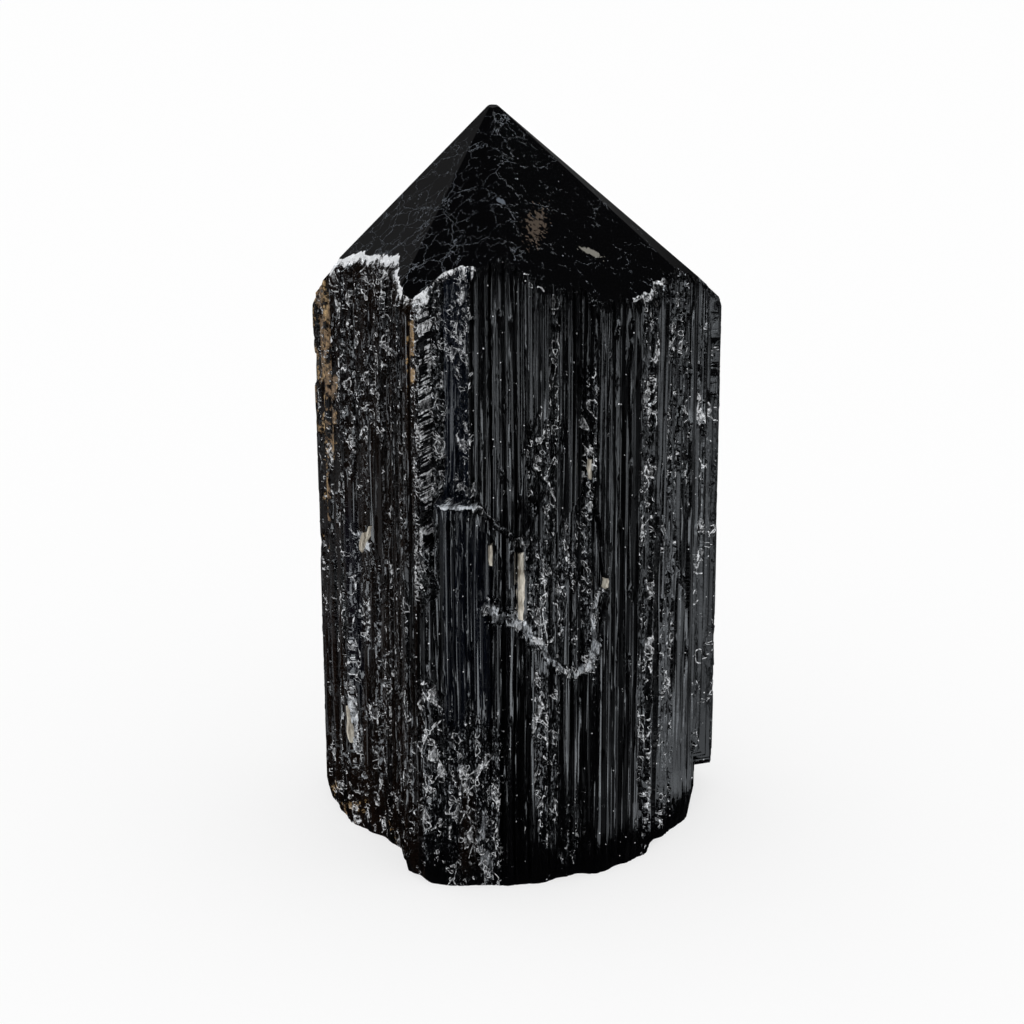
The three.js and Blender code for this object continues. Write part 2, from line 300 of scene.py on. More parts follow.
def skin_mesh(angles, heights, radius, rim):
    """An open tube of quads over the skin, which carries where it is and how it is marked."""
    rows, columns = radius.shape
    degrees = np.broadcast_to(np.degrees(angles), radius.shape)
    height = np.broadcast_to(heights[:, None], radius.shape)
    points = np.stack([radius * np.sin(angles), -radius * np.cos(angles), height], -1) * MM
    index = np.arange(rows * columns).reshape(rows, columns)
    right = np.roll(index, -1, axis=1)
    quads = np.stack([index[:-1], right[:-1], right[1:], index[1:]], -1).reshape(-1, 4)
    mesh = bpy.data.meshes.new("crystal")
    mesh.from_pydata(points.reshape(-1, 3).tolist(), [], quads.tolist())
    fields = {name: mark_field(name, degrees, height) for name in MARKS}
    fields["torn"] = tear_field(degrees, height)
    fields["broken"] = np.maximum(fields["broken"], fields["torn"])
    fields["along"] = np.radians(degrees) * GIRTH_RADIUS
    fields["height"] = height
    below = np.clip(rim - height, 0, None)
    fields["rim"] = 1 - smooth(below, 0, RIM_BREAK_HEIGHT)
    fields["rim_depth"] = rim_break(degrees)
    for name, values in fields.items():
        layer = mesh.attributes.new(name, "FLOAT", "POINT")
        layer.data.foreach_set("value", np.ascontiguousarray(values, np.float32).ravel())
    return mesh


# ---- growth ribs and breakage, as Geometry Nodes ------------------------------------------------------
def rib_layer(tree, across, height, width, length, rise, groove, seed):
    """Long ribs with pointed ends. Each has its own height and lean, and falls to a groove at its sides."""
    flank = add(tree, "ShaderNodeMath", (groove, width), operation="DIVIDE")
    place = add(tree, "ShaderNodeCombineXYZ", (
        add(tree, "ShaderNodeMath", (across, width), operation="DIVIDE"),
        add(tree, "ShaderNodeMath", (height, length), operation="DIVIDE"),
        seed,
    ))
    edge = add(tree, "ShaderNodeTexVoronoi", {"Vector": place, "Scale": 1.0}, feature="DISTANCE_TO_EDGE")
    colour = add(tree, "ShaderNodeTexVoronoi", {"Vector": place, "Scale": 1.0}, out="Color")
    centre = colour.node.outputs["Position"]
    tone = add(tree, "ShaderNodeSeparateXYZ", (colour,))
    crown = add(tree, "ShaderNodeMapRange", {"Value": edge, "From Max": flank},
                interpolation_type="SMOOTHSTEP")
    offset = add(tree, "ShaderNodeSeparateXYZ", (
        add(tree, "ShaderNodeVectorMath", (place, centre), operation="SUBTRACT"),
    ))
    lean = add(tree, "ShaderNodeMath", (tone.node.outputs["Y"], -0.5), operation="ADD")
    lean = add(tree, "ShaderNodeMath", (lean, offset), operation="MULTIPLY")
    level = add(tree, "ShaderNodeMath", (lean, 2.2, tone), operation="MULTIPLY_ADD")
    level = add(tree, "ShaderNodeMath", (level, 0.35), operation="ADD")
    body = add(tree, "ShaderNodeMath", (level, crown), operation="MULTIPLY")
    return add(tree, "ShaderNodeMath", (body, rise), operation="MULTIPLY")


def drifted(tree, along, height, seed):
    """The length along the girth, made to wander a little with height as the ribs do."""
    place = add(tree, "ShaderNodeCombineXYZ", (
        add(tree, "ShaderNodeMath", (along, 0.12), operation="MULTIPLY"),
        add(tree, "ShaderNodeMath", (height, 0.016), operation="MULTIPLY"),
        seed,
    ))
    drift = add(tree, "ShaderNodeTexNoise", {"Vector": place, "Scale": 1.0, "Detail": 1.0})
    return add(tree, "ShaderNodeMath", (drift, 1.6, along), operation="MULTIPLY_ADD")


def chip_place(tree, across, height, size, slant, squat, seed):
    """Where a point lies among chips of one size, in units of a chip. A squat of 0.5 makes them twice as
    tall as wide."""
    leaning = add(tree, "ShaderNodeMath", (height, slant, across), operation="MULTIPLY_ADD")
    rise = add(tree, "ShaderNodeMath", (height, size), operation="DIVIDE")
    return add(tree, "ShaderNodeCombineXYZ", (
        add(tree, "ShaderNodeMath", (leaning, size), operation="DIVIDE"),
        add(tree, "ShaderNodeMath", (rise, squat), operation="MULTIPLY"),
        seed,
    ))


def feather_place(tree, across, height, size, seed):
    """Where a point lies among the slanting chips of a feathered seam, in units of a chip."""
    slanted = add(tree, "ShaderNodeMath", (height, 0.8, across), operation="MULTIPLY_ADD")
    lengthwise = add(tree, "ShaderNodeMath", (across, -0.8, height), operation="MULTIPLY_ADD")
    return add(tree, "ShaderNodeCombineXYZ", (
        add(tree, "ShaderNodeMath", (slanted, size), operation="DIVIDE"),
        add(tree, "ShaderNodeMath", (lengthwise, 1.1), operation="DIVIDE"),
        seed,
    ))


def chip_layer(tree, place, depth, tilt):
    """Small conchoidal flats, each tilted its own way and sunk to its own depth, in cells one unit wide."""
    colour = add(tree, "ShaderNodeTexVoronoi", {"Vector": place, "Scale": 1.0}, out="Color")
    centre = colour.node.outputs["Position"]
    offset = add(tree, "ShaderNodeVectorMath", (place, centre), operation="SUBTRACT")
    turn = add(tree, "ShaderNodeVectorMath", (colour, (-0.5, -0.5, -0.5)), operation="ADD")
    slope = add(tree, "ShaderNodeVectorMath", (offset, turn), out="Value", operation="DOT_PRODUCT")
    sunk = add(tree, "ShaderNodeSeparateXYZ", (colour,), out="Z")
    level = add(tree, "ShaderNodeMath", (slope, tilt), operation="MULTIPLY")
    level = add(tree, "ShaderNodeMath", (level, sunk), operation="SUBTRACT")
    return add(tree, "ShaderNodeMath", (level, depth), operation="MULTIPLY")


GROWTH_INPUTS = [
    ("Rib width", 1.5), ("Rib length", 400.0), ("Rib rise", 0.42),
    ("Fine rib width", 0.6), ("Fine rib length", 220.0), ("Fine rib rise", 0.17),
    ("Chip size", CHIP), ("Chip depth", 0.16), ("Broad chip size", BROAD_CHIP), ("Broad chip depth", 0.2),
    ("Feather size", FEATHER), ("Lump size", 0.9), ("Lump rise", 0.15), ("Groove", 0.16),
    ("Pit size", 0.5), ("Pit height", 1.6), ("Pit depth", 0.35), ("Torn lip", 0.3), ("Seed", SEED),
]


def growth_tree():
    """The tree that gives the skin its ribs, chips and pits. Its sizes are in millimetres."""
    tree = bpy.data.node_groups.new("schorl growth", "GeometryNodeTree")
    face = tree.interface
    face.new_socket("Geometry", in_out="INPUT", socket_type="NodeSocketGeometry")
    for name, value in GROWTH_INPUTS:
        face.new_socket(name, in_out="INPUT", socket_type="NodeSocketFloat").default_value = value
    face.new_socket("Material", in_out="INPUT", socket_type="NodeSocketMaterial")
    face.new_socket("Geometry", in_out="OUTPUT", socket_type="NodeSocketGeometry")
    size = add(tree, "NodeGroupInput").node.outputs
    field = {
        name: add(tree, "GeometryNodeInputNamedAttribute", (name,), data_type="FLOAT")
        for name in ("along", "height", "broken", "feathered", "glassy", "torn", "rim", "rim_depth")
    }
    height = field["height"]
    seed = size["Seed"]

    across = drifted(tree, field["along"], height, seed)
    ribs, fine = (
        rib_layer(tree, across, height, size[name + " width"], size[name + " length"], size[name + " rise"],
                  size["Groove"], own_seed)
        for name, own_seed in (("Rib", seed), ("Fine rib", FINE_SEED))
    )
    calm = add(tree, "ShaderNodeMath", (field["glassy"], -0.7, 1.0), operation="MULTIPLY_ADD")
    fine = add(tree, "ShaderNodeMath", (fine, calm), operation="MULTIPLY")
    total = add(tree, "ShaderNodeMath", (ribs, fine), operation="ADD")
    crumbled = add(tree, "ShaderNodeMath", (field["rim"], field["rim_depth"]), operation="MULTIPLY")
    intact = add(tree, "ShaderNodeMapRange", {
        "Value": crumbled, "From Max": 0.4, "To Min": 1.0, "To Max": 0.05,
    })
    total = add(tree, "ShaderNodeMath", (total, intact), operation="MULTIPLY")

    # chips lie in two sizes over rounder lumps, and the feathered seams have slanting ones
    chips = []
    for name, squat in (("Chip", CHIP_SQUAT), ("Broad chip", BROAD_CHIP_SQUAT)):
        place = chip_place(tree, across, height, size[name + " size"], 0.0, squat, seed)
        chips.append(chip_layer(tree, place, size[name + " depth"], CHIP_TILT))
    lump_place = chip_place(tree, across, height, size["Lump size"], 0.0, 0.5, seed)
    lump = add(tree, "ShaderNodeTexNoise", {
        "Vector": lump_place, "Scale": 1.0, "Detail": 3.0, "Roughness": 0.6,
    })
    lump = add(tree, "ShaderNodeMath", (lump, -0.5), operation="ADD")
    chipped = add(tree, "ShaderNodeMath", chips, operation="ADD")
    chipped = add(tree, "ShaderNodeMath", (lump, size["Lump rise"], chipped), operation="MULTIPLY_ADD")
    slanted = feather_place(tree, across, height, size["Feather size"], seed)
    feathers = chip_layer(tree, slanted, size["Chip depth"], 2.2)

    # broken skin comes in upright patches
    patch = add(tree, "ShaderNodeTexNoise", {
        "Vector": add(tree, "ShaderNodeCombineXYZ", (
            add(tree, "ShaderNodeMath", (across, 0.75), operation="MULTIPLY"),
            add(tree, "ShaderNodeMath", (height, 0.16), operation="MULTIPLY"),
            seed,
        )),
        "Scale": 1.0, "Detail": 4.0, "Roughness": 0.6,
    })
    reach = add(tree, "ShaderNodeMath", (field["broken"], 0.62, -0.1), operation="MULTIPLY_ADD")
    over = add(tree, "ShaderNodeMath", (patch, reach), operation="ADD")
    share = add(tree, "ShaderNodeMapRange", {"Value": over, "From Min": 0.56, "From Max": 0.70})
    total = add(tree, "ShaderNodeMath", (chipped, share, total), operation="MULTIPLY_ADD")
    total = add(tree, "ShaderNodeMath", (feathers, field["feathered"], total), operation="MULTIPLY_ADD")
    total = add(tree, "ShaderNodeMath", (field["torn"], size["Torn lip"], total), operation="MULTIPLY_ADD")
    sinking = add(tree, "ShaderNodeMath", (lump, 2.0, -0.5), operation="MULTIPLY_ADD")
    total = add(tree, "ShaderNodeMath", (crumbled, sinking, total), operation="MULTIPLY_ADD")

    # pits are upright slots that only some cells have
    pit_place = add(tree, "ShaderNodeCombineXYZ", (
        add(tree, "ShaderNodeMath", (across, size["Pit size"]), operation="DIVIDE"),
        add(tree, "ShaderNodeMath", (height, size["Pit height"]), operation="DIVIDE"),
        seed,
    ))
    near = add(tree, "ShaderNodeTexVoronoi", {"Vector": pit_place, "Scale": 0.45}, out="Distance")
    lot = add(tree, "ShaderNodeSeparateXYZ", (near.node.outputs["Color"],))
    open_pit = add(tree, "ShaderNodeMapRange", {"Value": near, "From Min": 0.30, "From Max": 0.12})
    chosen = add(tree, "ShaderNodeMath", (lot, 0.72), operation="GREATER_THAN")
    pit = add(tree, "ShaderNodeMath", (open_pit, chosen), operation="MULTIPLY")
    pit = add(tree, "ShaderNodeMath", (pit, size["Pit depth"]), operation="MULTIPLY")
    total = add(tree, "ShaderNodeMath", (total, pit), operation="SUBTRACT")

    flat = add(tree, "ShaderNodeVectorMath", (
        add(tree, "GeometryNodeInputPosition"), (1.0, 1.0, 0.0),
    ), operation="MULTIPLY")
    outward = add(tree, "ShaderNodeVectorMath", (flat,), operation="NORMALIZE")
    settled = add(tree, "ShaderNodeMapRange", {"Value": height, "From Max": 2.5, "To Min": 0.15})
    total = add(tree, "ShaderNodeMath", (total, settled), operation="MULTIPLY")
    metres = add(tree, "ShaderNodeMath", (total, MM), operation="MULTIPLY")
    step = add(tree, "ShaderNodeVectorMath", {0: outward, "Scale": metres}, operation="SCALE")
    shape = add(tree, "GeometryNodeSetPosition", {"Geometry": size["Geometry"], "Offset": step})
    shape = add(tree, "GeometryNodeStoreNamedAttribute", {
        "Geometry": shape, "Name": "crushed", "Value": share,
    }, data_type="FLOAT", domain="POINT")
    shape = add(tree, "GeometryNodeRealizeInstances", (shape,))
    shape = add(tree, "GeometryNodeSetMaterial", {"Geometry": shape, "Material": size["Material"]})
    add(tree, "NodeGroupOutput", (shape,))
    return tree


def grown(mesh, material):
    """The skin with its growth applied, as a plain mesh."""
    skin = bpy.data.objects.new("skin", mesh)
    bpy.context.scene.collection.objects.link(skin)
    modifier = skin.modifiers.new("growth", "NODES")
    modifier.node_group = growth_tree()
    for item in modifier.node_group.interface.items_tree:
        if item.name == "Material":
            modifier[item.identifier] = material
    result = plain(skin)
    bpy.data.objects.remove(skin)
    return result


def plain(thing):
    """The evaluated object's shape as a mesh with no modifier."""
    graph = bpy.context.evaluated_depsgraph_get()
    return bpy.data.meshes.new_from_object(thing.evaluated_get(graph), depsgraph=graph)


# ---- the ground point and the sawn foot ---------------------------------------------------------------
def open_loop(bm, above):
    """The open edge above a height, or below it, as vertices in order round the crystal."""
    edges = [e for e in bm.edges if e.is_boundary and (e.verts[0].co.z > RIM_SEARCH * MM) == above]
    following = {}
    for edge in edges:
        for vertex in edge.verts:
            following.setdefault(vertex, []).append(edge.other_vert(vertex))
    start = edges[0].verts[0]
    loop = [start, following[start][0]]
    while True:
        ahead = [v for v in following[loop[-1]] if v is not loop[-2]]
        if not ahead or ahead[0] is start:
            return loop
        loop.append(ahead[0])


def anticlockwise(loop):
    """The loop turned to run anticlockwise seen from above."""
    area = sum(a.co.x * b.co.y - b.co.x * a.co.y for a, b in zip(loop, loop[1:] + loop[:1]))
    return loop if area > 0 else loop[::-1]


def ground_height(planes, point):
    """The height of the ground point over a place, and the number of the facet there."""
    heights = [(d - n.x * point.x - n.y * point.y) / n.z for n, d in planes]
    lowest = min(heights)
    return lowest, heights.index(lowest)


def grind(mesh, planes):
    """Cuts the skin off along the facets, and leaves it open there."""
    bm = bmesh.new()
    bm.from_mesh(mesh)
    for normal, distance in planes:
        near = [v for v in bm.verts if v.co.z > RIM_SEARCH * MM]
        edges = dict.fromkeys(e for v in near for e in v.link_edges)
        faces = dict.fromkeys(f for v in near for f in v.link_faces)
        bmesh.ops.bisect_plane(bm, geom=[*near, *edges, *faces], plane_co=normal * distance, plane_no=normal,
                               clear_outer=True, dist=1e-7)
    bm.to_mesh(mesh)
    bm.free()


def close_point(bm, planes, tip_height):
    """Lays the facets from the rim to the blunt tip, with a corner where two of them meet on the rim."""
    apex = meeting_point(planes)
    rim = anticlockwise(open_loop(bm, True))
    for vertex in rim:
        vertex.co.z = ground_height(planes, vertex.co)[0]
    whole = []
    for first, second in zip(rim, rim[1:] + rim[:1]):
        whole.append(first)
        one, other = (planes[ground_height(planes, v.co)[1]] for v in (first, second))
        if one is other:
            continue
        gaps = [ground_height([one], v.co)[0] - ground_height([other], v.co)[0] for v in (first, second)]
        share = gaps[0] / (gaps[0] - gaps[1])
        edge = bm.edges.get((first, second))
        corner = bmesh.utils.edge_split(edge, first, share)[1]
        corner.co.z = ground_height([one], corner.co)[0]
        whole.append(corner)
    tip = []
    for vertex in whole:
        share = (tip_height - vertex.co.z) / (apex.z - vertex.co.z)
        tip.append(bm.verts.new(vertex.co.lerp(apex, share)))
    for i in range(len(whole)):
        j = (i + 1) % len(whole)
        bm.faces.new((whole[i], whole[j], tip[j], tip[i])).material_index = POLISHED
    bm.faces.new(tip).material_index = POLISHED


# A splinter's section from one edge over its ridge and back: (share of half its width, mm off the skin).
SPLINTER_SECTION = ((-1, 0.12), (-0.2, 0.34), (1, 0.2), (0.9, -0.7), (-0.9, -0.7))
SPLINTER_STEP = 0.7  # mm from one section to the next


def add_splinter(bm, tree, splinter, rng):
    """A flat splinter with a low ridge and ragged ends, sunk half into the skin."""
    degrees, bottom, top, width, lean = splinter
    rings = []
    steps = max(4, round((top - bottom) / SPLINTER_STEP))
    for step in range(steps + 1):
        share = step / steps
        middle = degrees + lean * (share - 0.5) + rng.uniform(-0.1, 0.1)
        height = bottom + (top - bottom) * share
        swell = 0.55 + 0.45 * math.sin(math.pi * (0.12 + 0.76 * share))
        half = 0.5 * width * swell * rng.uniform(0.8, 1.1)
        angle = math.radians(middle)
        out = Vector((math.sin(angle), -math.cos(angle), 0))
        side = Vector((math.cos(angle), math.sin(angle), 0))
        hit = tree.ray_cast(out * REACH * MM + Vector((0, 0, height * MM)), -out)[0]
        skin = math.hypot(hit.x, hit.y) / MM
        ring = []
        for across, raised in SPLINTER_SECTION:
            lift = Vector((0, 0, height + 0.3 * across * width * (share - 0.5)))
            ring.append(bm.verts.new((out * (skin + raised) + side * across * half + lift) * MM))
        rings.append(ring)
    corners = len(SPLINTER_SECTION)
    for low, high in zip(rings, rings[1:]):
        for i in range(corners):
            j = (i + 1) % corners
            bm.faces.new((low[i], low[j], high[j], high[i])).material_index = SPLINTER
    bm.faces.new(rings[0][::-1]).material_index = SPLINTER
    bm.faces.new(rings[-1]).material_index = SPLINTER


def close_foot(bm):
    """Closes the foot with one flat face at the height of zero."""
    foot = anticlockwise(open_loop(bm, False))
    for vertex in foot:
        vertex.co.z = 0
    bm.faces.new(foot[::-1]).material_index = SAWN


def meeting_point(planes):
    """The one point that all the facet planes share, by least squares."""
    normals = np.array([list(n) for n, _ in planes])
    return Vector(np.linalg.lstsq(normals, np.array([d for _, d in planes]), rcond=None)[0])


def crystal(cad, finishes):
    """The whole crystal as one closed mesh."""
    planes = ground_planes(cad.data)
    angles, heights, radius, rim = wrap(cad.data, planes)
    mesh = grown(skin_mesh(angles, heights, radius, rim), finishes[NATURAL])
    grind(mesh, planes)
    piece = bpy.data.objects.new("tourmaline_crystal", mesh)
    bpy.context.scene.collection.objects.link(piece)
    thin = piece.modifiers.new("thin", "DECIMATE")
    thin.ratio = TRIANGLES / (2 * len(mesh.polygons))
    thin.use_collapse_triangulate = True
    piece.data = plain(piece)
    piece.modifiers.clear()
    for finish in finishes[POLISHED:]:
        piece.data.materials.append(finish)
    bm = bmesh.new()
    bm.from_mesh(piece.data)
    close_point(bm, planes, CAD_BOX[1][2])
    close_foot(bm)
    skin = BVHTree.FromBMesh(bm)
    rng = np.random.default_rng(21)
    for splinter in SPLINTERS:
        add_splinter(bm, skin, splinter, rng)
    bmesh.ops.triangulate(bm, faces=bm.faces)
    bm.to_mesh(piece.data)
    bm.free()
    piece.data.set_sharp_from_angle(angle=CREASE)
    for face in piece.data.polygons:
        face.use_smooth = face.material_index == NATURAL
    return piece


# ---- finishes -----------------------------------------------------------------------------------------
def new_material(name):
    """A material with an empty tree."""
    material = bpy.data.materials.new(name)
    material.use_nodes = True
    material.node_tree.nodes.clear()
    return material, material.node_tree


def place_in_mm(tree):
    """A point's place on the crystal in millimetres, from the middle of its foot."""
    place = add(tree, "ShaderNodeTexCoord", out="Object")
    return add(tree, "ShaderNodeVectorMath", {0: place, "Scale": 1 / MM}, operation="SCALE")


def spots(tree, mm, kinds, core):
    """Round spots of two kinds: (spacing in mm, radius in mm, share of the places left bare). A spot is
    full out to core times its radius."""
    found = []
    for spacing, radius, bare in kinds:
        near = add(tree, "ShaderNodeTexVoronoi", {"Vector": mm, "Scale": 1 / spacing}, out="Distance")
        lot = add(tree, "ShaderNodeSeparateXYZ", (near.node.outputs["Color"],))
        spot = add(tree, "ShaderNodeMapRange", {
            "Value": near, "From Min": radius / spacing, "From Max": core * radius / spacing,
        })
        chosen = add(tree, "ShaderNodeMath", (lot, bare), operation="GREATER_THAN")
        found.append(add(tree, "ShaderNodeMath", (spot, chosen), operation="MULTIPLY"))
    return add(tree, "ShaderNodeMath", found, operation="MAXIMUM")


def girth_place(tree, mm):
    """How far round the skin a point lies, drifting as the ribs do, and its height."""
    part = add(tree, "ShaderNodeSeparateXYZ", (mm,))
    height = part.node.outputs["Z"]
    forward = add(tree, "ShaderNodeMath", (part.node.outputs["Y"], -1.0), operation="MULTIPLY")
    along = add(tree, "ShaderNodeMath", (part, forward), operation="ARCTAN2")
    along = add(tree, "ShaderNodeMath", (along, GIRTH_RADIUS), operation="MULTIPLY")
    return drifted(tree, along, height, SEED), height


def body_colour(tree, mm, field, cloud, speck):
    """Black, browned or blued in patches, with tan clay in the marked places. Returns the clay's share
    too."""
    brown_share = add(tree, "ShaderNodeMapRange", {"Value": cloud, "From Min": 0.35, "From Max": 0.65})
    brown_share = add(tree, "ShaderNodeMath", (brown_share, field["brown"]), operation="MULTIPLY")
    black, brown, blue = linear("#040405"), linear("#180f09"), linear("#080e1b")
    colour = add(tree, "ShaderNodeMix", {0: brown_share, 6: black, 7: brown}, **LAID_OVER)
    blue_share = add(tree, "ShaderNodeMath", (cloud, field["blue"]), operation="MULTIPLY")
    colour = add(tree, "ShaderNodeMix", {0: blue_share, 6: colour, 7: blue}, **LAID_OVER)

    dry = add(tree, "ShaderNodeMapRange", {"Value": cloud, "From Min": 0.42, "From Max": 0.60})
    damp_clay, dry_clay, gap = linear("#8c7050"), linear("#d8b47c"), linear("#2a1f17")
    clay = add(tree, "ShaderNodeMix", {0: dry, 6: damp_clay, 7: dry_clay}, **LAID_OVER)
    packed = add(tree, "ShaderNodeMapRange", {"Value": speck, "From Min": 0.36, "From Max": 0.64})
    clay = add(tree, "ShaderNodeMix", {0: packed, 6: gap, 7: clay}, **LAID_OVER)
    blotch = add(tree, "ShaderNodeTexNoise", {
        "Vector": mm, "Scale": 0.55, "Detail": 4.0, "Roughness": 0.65,
    })
    tan_level = add(tree, "ShaderNodeMath", (field["tan"], 0.5, blotch), operation="MULTIPLY_ADD")
    tan_share = add(tree, "ShaderNodeMapRange", {"Value": tan_level, "From Min": 0.86, "From Max": 0.94})
    return add(tree, "ShaderNodeMix", {0: tan_share, 6: colour, 7: clay}, **LAID_OVER), tan_share


def crushed_share_and_highlight(tree, mm, across, height, worn):
    """How much of the torn skin is crushed to grey powder, flake by flake; on the upturned ledge and tears it
    is also a painted highlight.
    """
    drawn = add(tree, "ShaderNodeMapping", {"Vector": mm, "Scale": (1.0, 1.0, 0.35)})
    thread = add(tree, "ShaderNodeTexNoise", {
        "Vector": drawn, "Scale": 1.8, "Detail": 3.0, "Roughness": 0.75,
    })
    level = add(tree, "ShaderNodeMath", (worn, 2.5), operation="POWER")
    level = add(tree, "ShaderNodeMath", (level, 0.5, thread), operation="MULTIPLY_ADD")
    powder_and_highlight = add(tree, "ShaderNodeMapRange", {"Value": level, "From Min": 0.70, "From Max": 0.92})
    flake = chip_place(tree, across, height, 0.7 * CHIP, 0.3, 0.6, SEED)
    flake = add(tree, "ShaderNodeTexVoronoi", {"Vector": flake, "Scale": 1.0}, out="Color")
    flake = add(tree, "ShaderNodeSeparateXYZ", (flake,))
    flake = add(tree, "ShaderNodeMapRange", {
        "Value": flake, "From Min": 0.3, "From Max": 0.5, "To Min": 0.3,
    })
    return add(tree, "ShaderNodeMath", (powder_and_highlight, flake), operation="MULTIPLY")


CHIP_BEND = (0.3, 0.3, 0.0)  # how far the borders of the chips bend, in chips
LIP_LOT = 1.0  # a chip has a white lip when its lot beats this
BRUISE_LOT = 1.12  # and is bruised all over when it beats this


def lip_and_glint_share(tree, mm, across, height, bend, field, broken, speck):
    """The thin raised lips of the chips, crushed white and painted bright as glints of light along their
    edges, and the faint bruises on some of the chips.
    They crowd together in places and are missing in others."""
    drawn = add(tree, "ShaderNodeMapping", {"Vector": mm, "Scale": (1.0, 1.0, 0.35)})
    crowd = add(tree, "ShaderNodeTexNoise", {
        "Vector": drawn, "Scale": 0.45, "Detail": 2.0, "Roughness": 0.6,
    })
    crowd = add(tree, "ShaderNodeMapRange", {
        "Value": crowd, "From Min": 0.4, "From Max": 0.62, "To Min": 0.15, "To Max": 1.5,
    })
    # place among the chips, lip's width in chips, where they are, share that shows, strength of the bruises
    layers = [
        (chip_place(tree, across, height, BROAD_CHIP, 0.0, BROAD_CHIP_SQUAT, SEED), 0.055, field["crushed"],
         0.20, 0.0),
        (chip_place(tree, across, height, CHIP, 0.0, CHIP_SQUAT, SEED), 0.09, broken, 0.24, 0.28),
        (chip_place(tree, across, height, 0.5 * CHIP, 0.25, 0.75, SEED), 0.14, broken, 0.18, 0.28),
        (feather_place(tree, across, height, FEATHER, SEED), 0.12, field["feathered"], 0.6, 0.0),
    ]
    shown = []
    for place, width, where, share, bruise in layers:
        curved = add(tree, "ShaderNodeVectorMath", (bend, CHIP_BEND, place), operation="MULTIPLY_ADD")
        edge = add(tree, "ShaderNodeTexVoronoi", {"Vector": curved, "Scale": 1.0}, feature="DISTANCE_TO_EDGE")
        # painted highlight: each lip is a thin bright glint line laid along a chip's edge
        lip = add(tree, "ShaderNodeMapRange", {
            "Value": edge, "From Min": 0.4 * width, "From Max": width, "To Min": 1.0, "To Max": 0.0,
        })
        lot = add(tree, "ShaderNodeTexVoronoi", {"Vector": curved, "Scale": 1.0}, out="Color")
        lot = add(tree, "ShaderNodeSeparateXYZ", (lot,))
        crowded = add(tree, "ShaderNodeMath", (where, crowd), operation="MULTIPLY")
        lot = add(tree, "ShaderNodeMath", (crowded, share, lot), operation="MULTIPLY_ADD")
        chosen = add(tree, "ShaderNodeMath", (lot, LIP_LOT), operation="GREATER_THAN")
        shown.append(add(tree, "ShaderNodeMath", (lip, chosen), operation="MULTIPLY"))
        if bruise:
            bruised = add(tree, "ShaderNodeMath", (lot, BRUISE_LOT), operation="GREATER_THAN")
            bruised = add(tree, "ShaderNodeMath", (bruised, crowded), operation="MULTIPLY")
            shown.append(add(tree, "ShaderNodeMath", (bruised, bruise), operation="MULTIPLY"))
    fade = add(tree, "ShaderNodeMapRange", {
        "Value": speck, "From Min": 0.43, "From Max": 0.58, "To Min": 0.06,
    })
    lip = shown[0]
    for other in shown[1:]:
        lip = add(tree, "ShaderNodeMath", (lip, other), operation="MAXIMUM")
    return add(tree, "ShaderNodeMath", (lip, fade), operation="MULTIPLY")


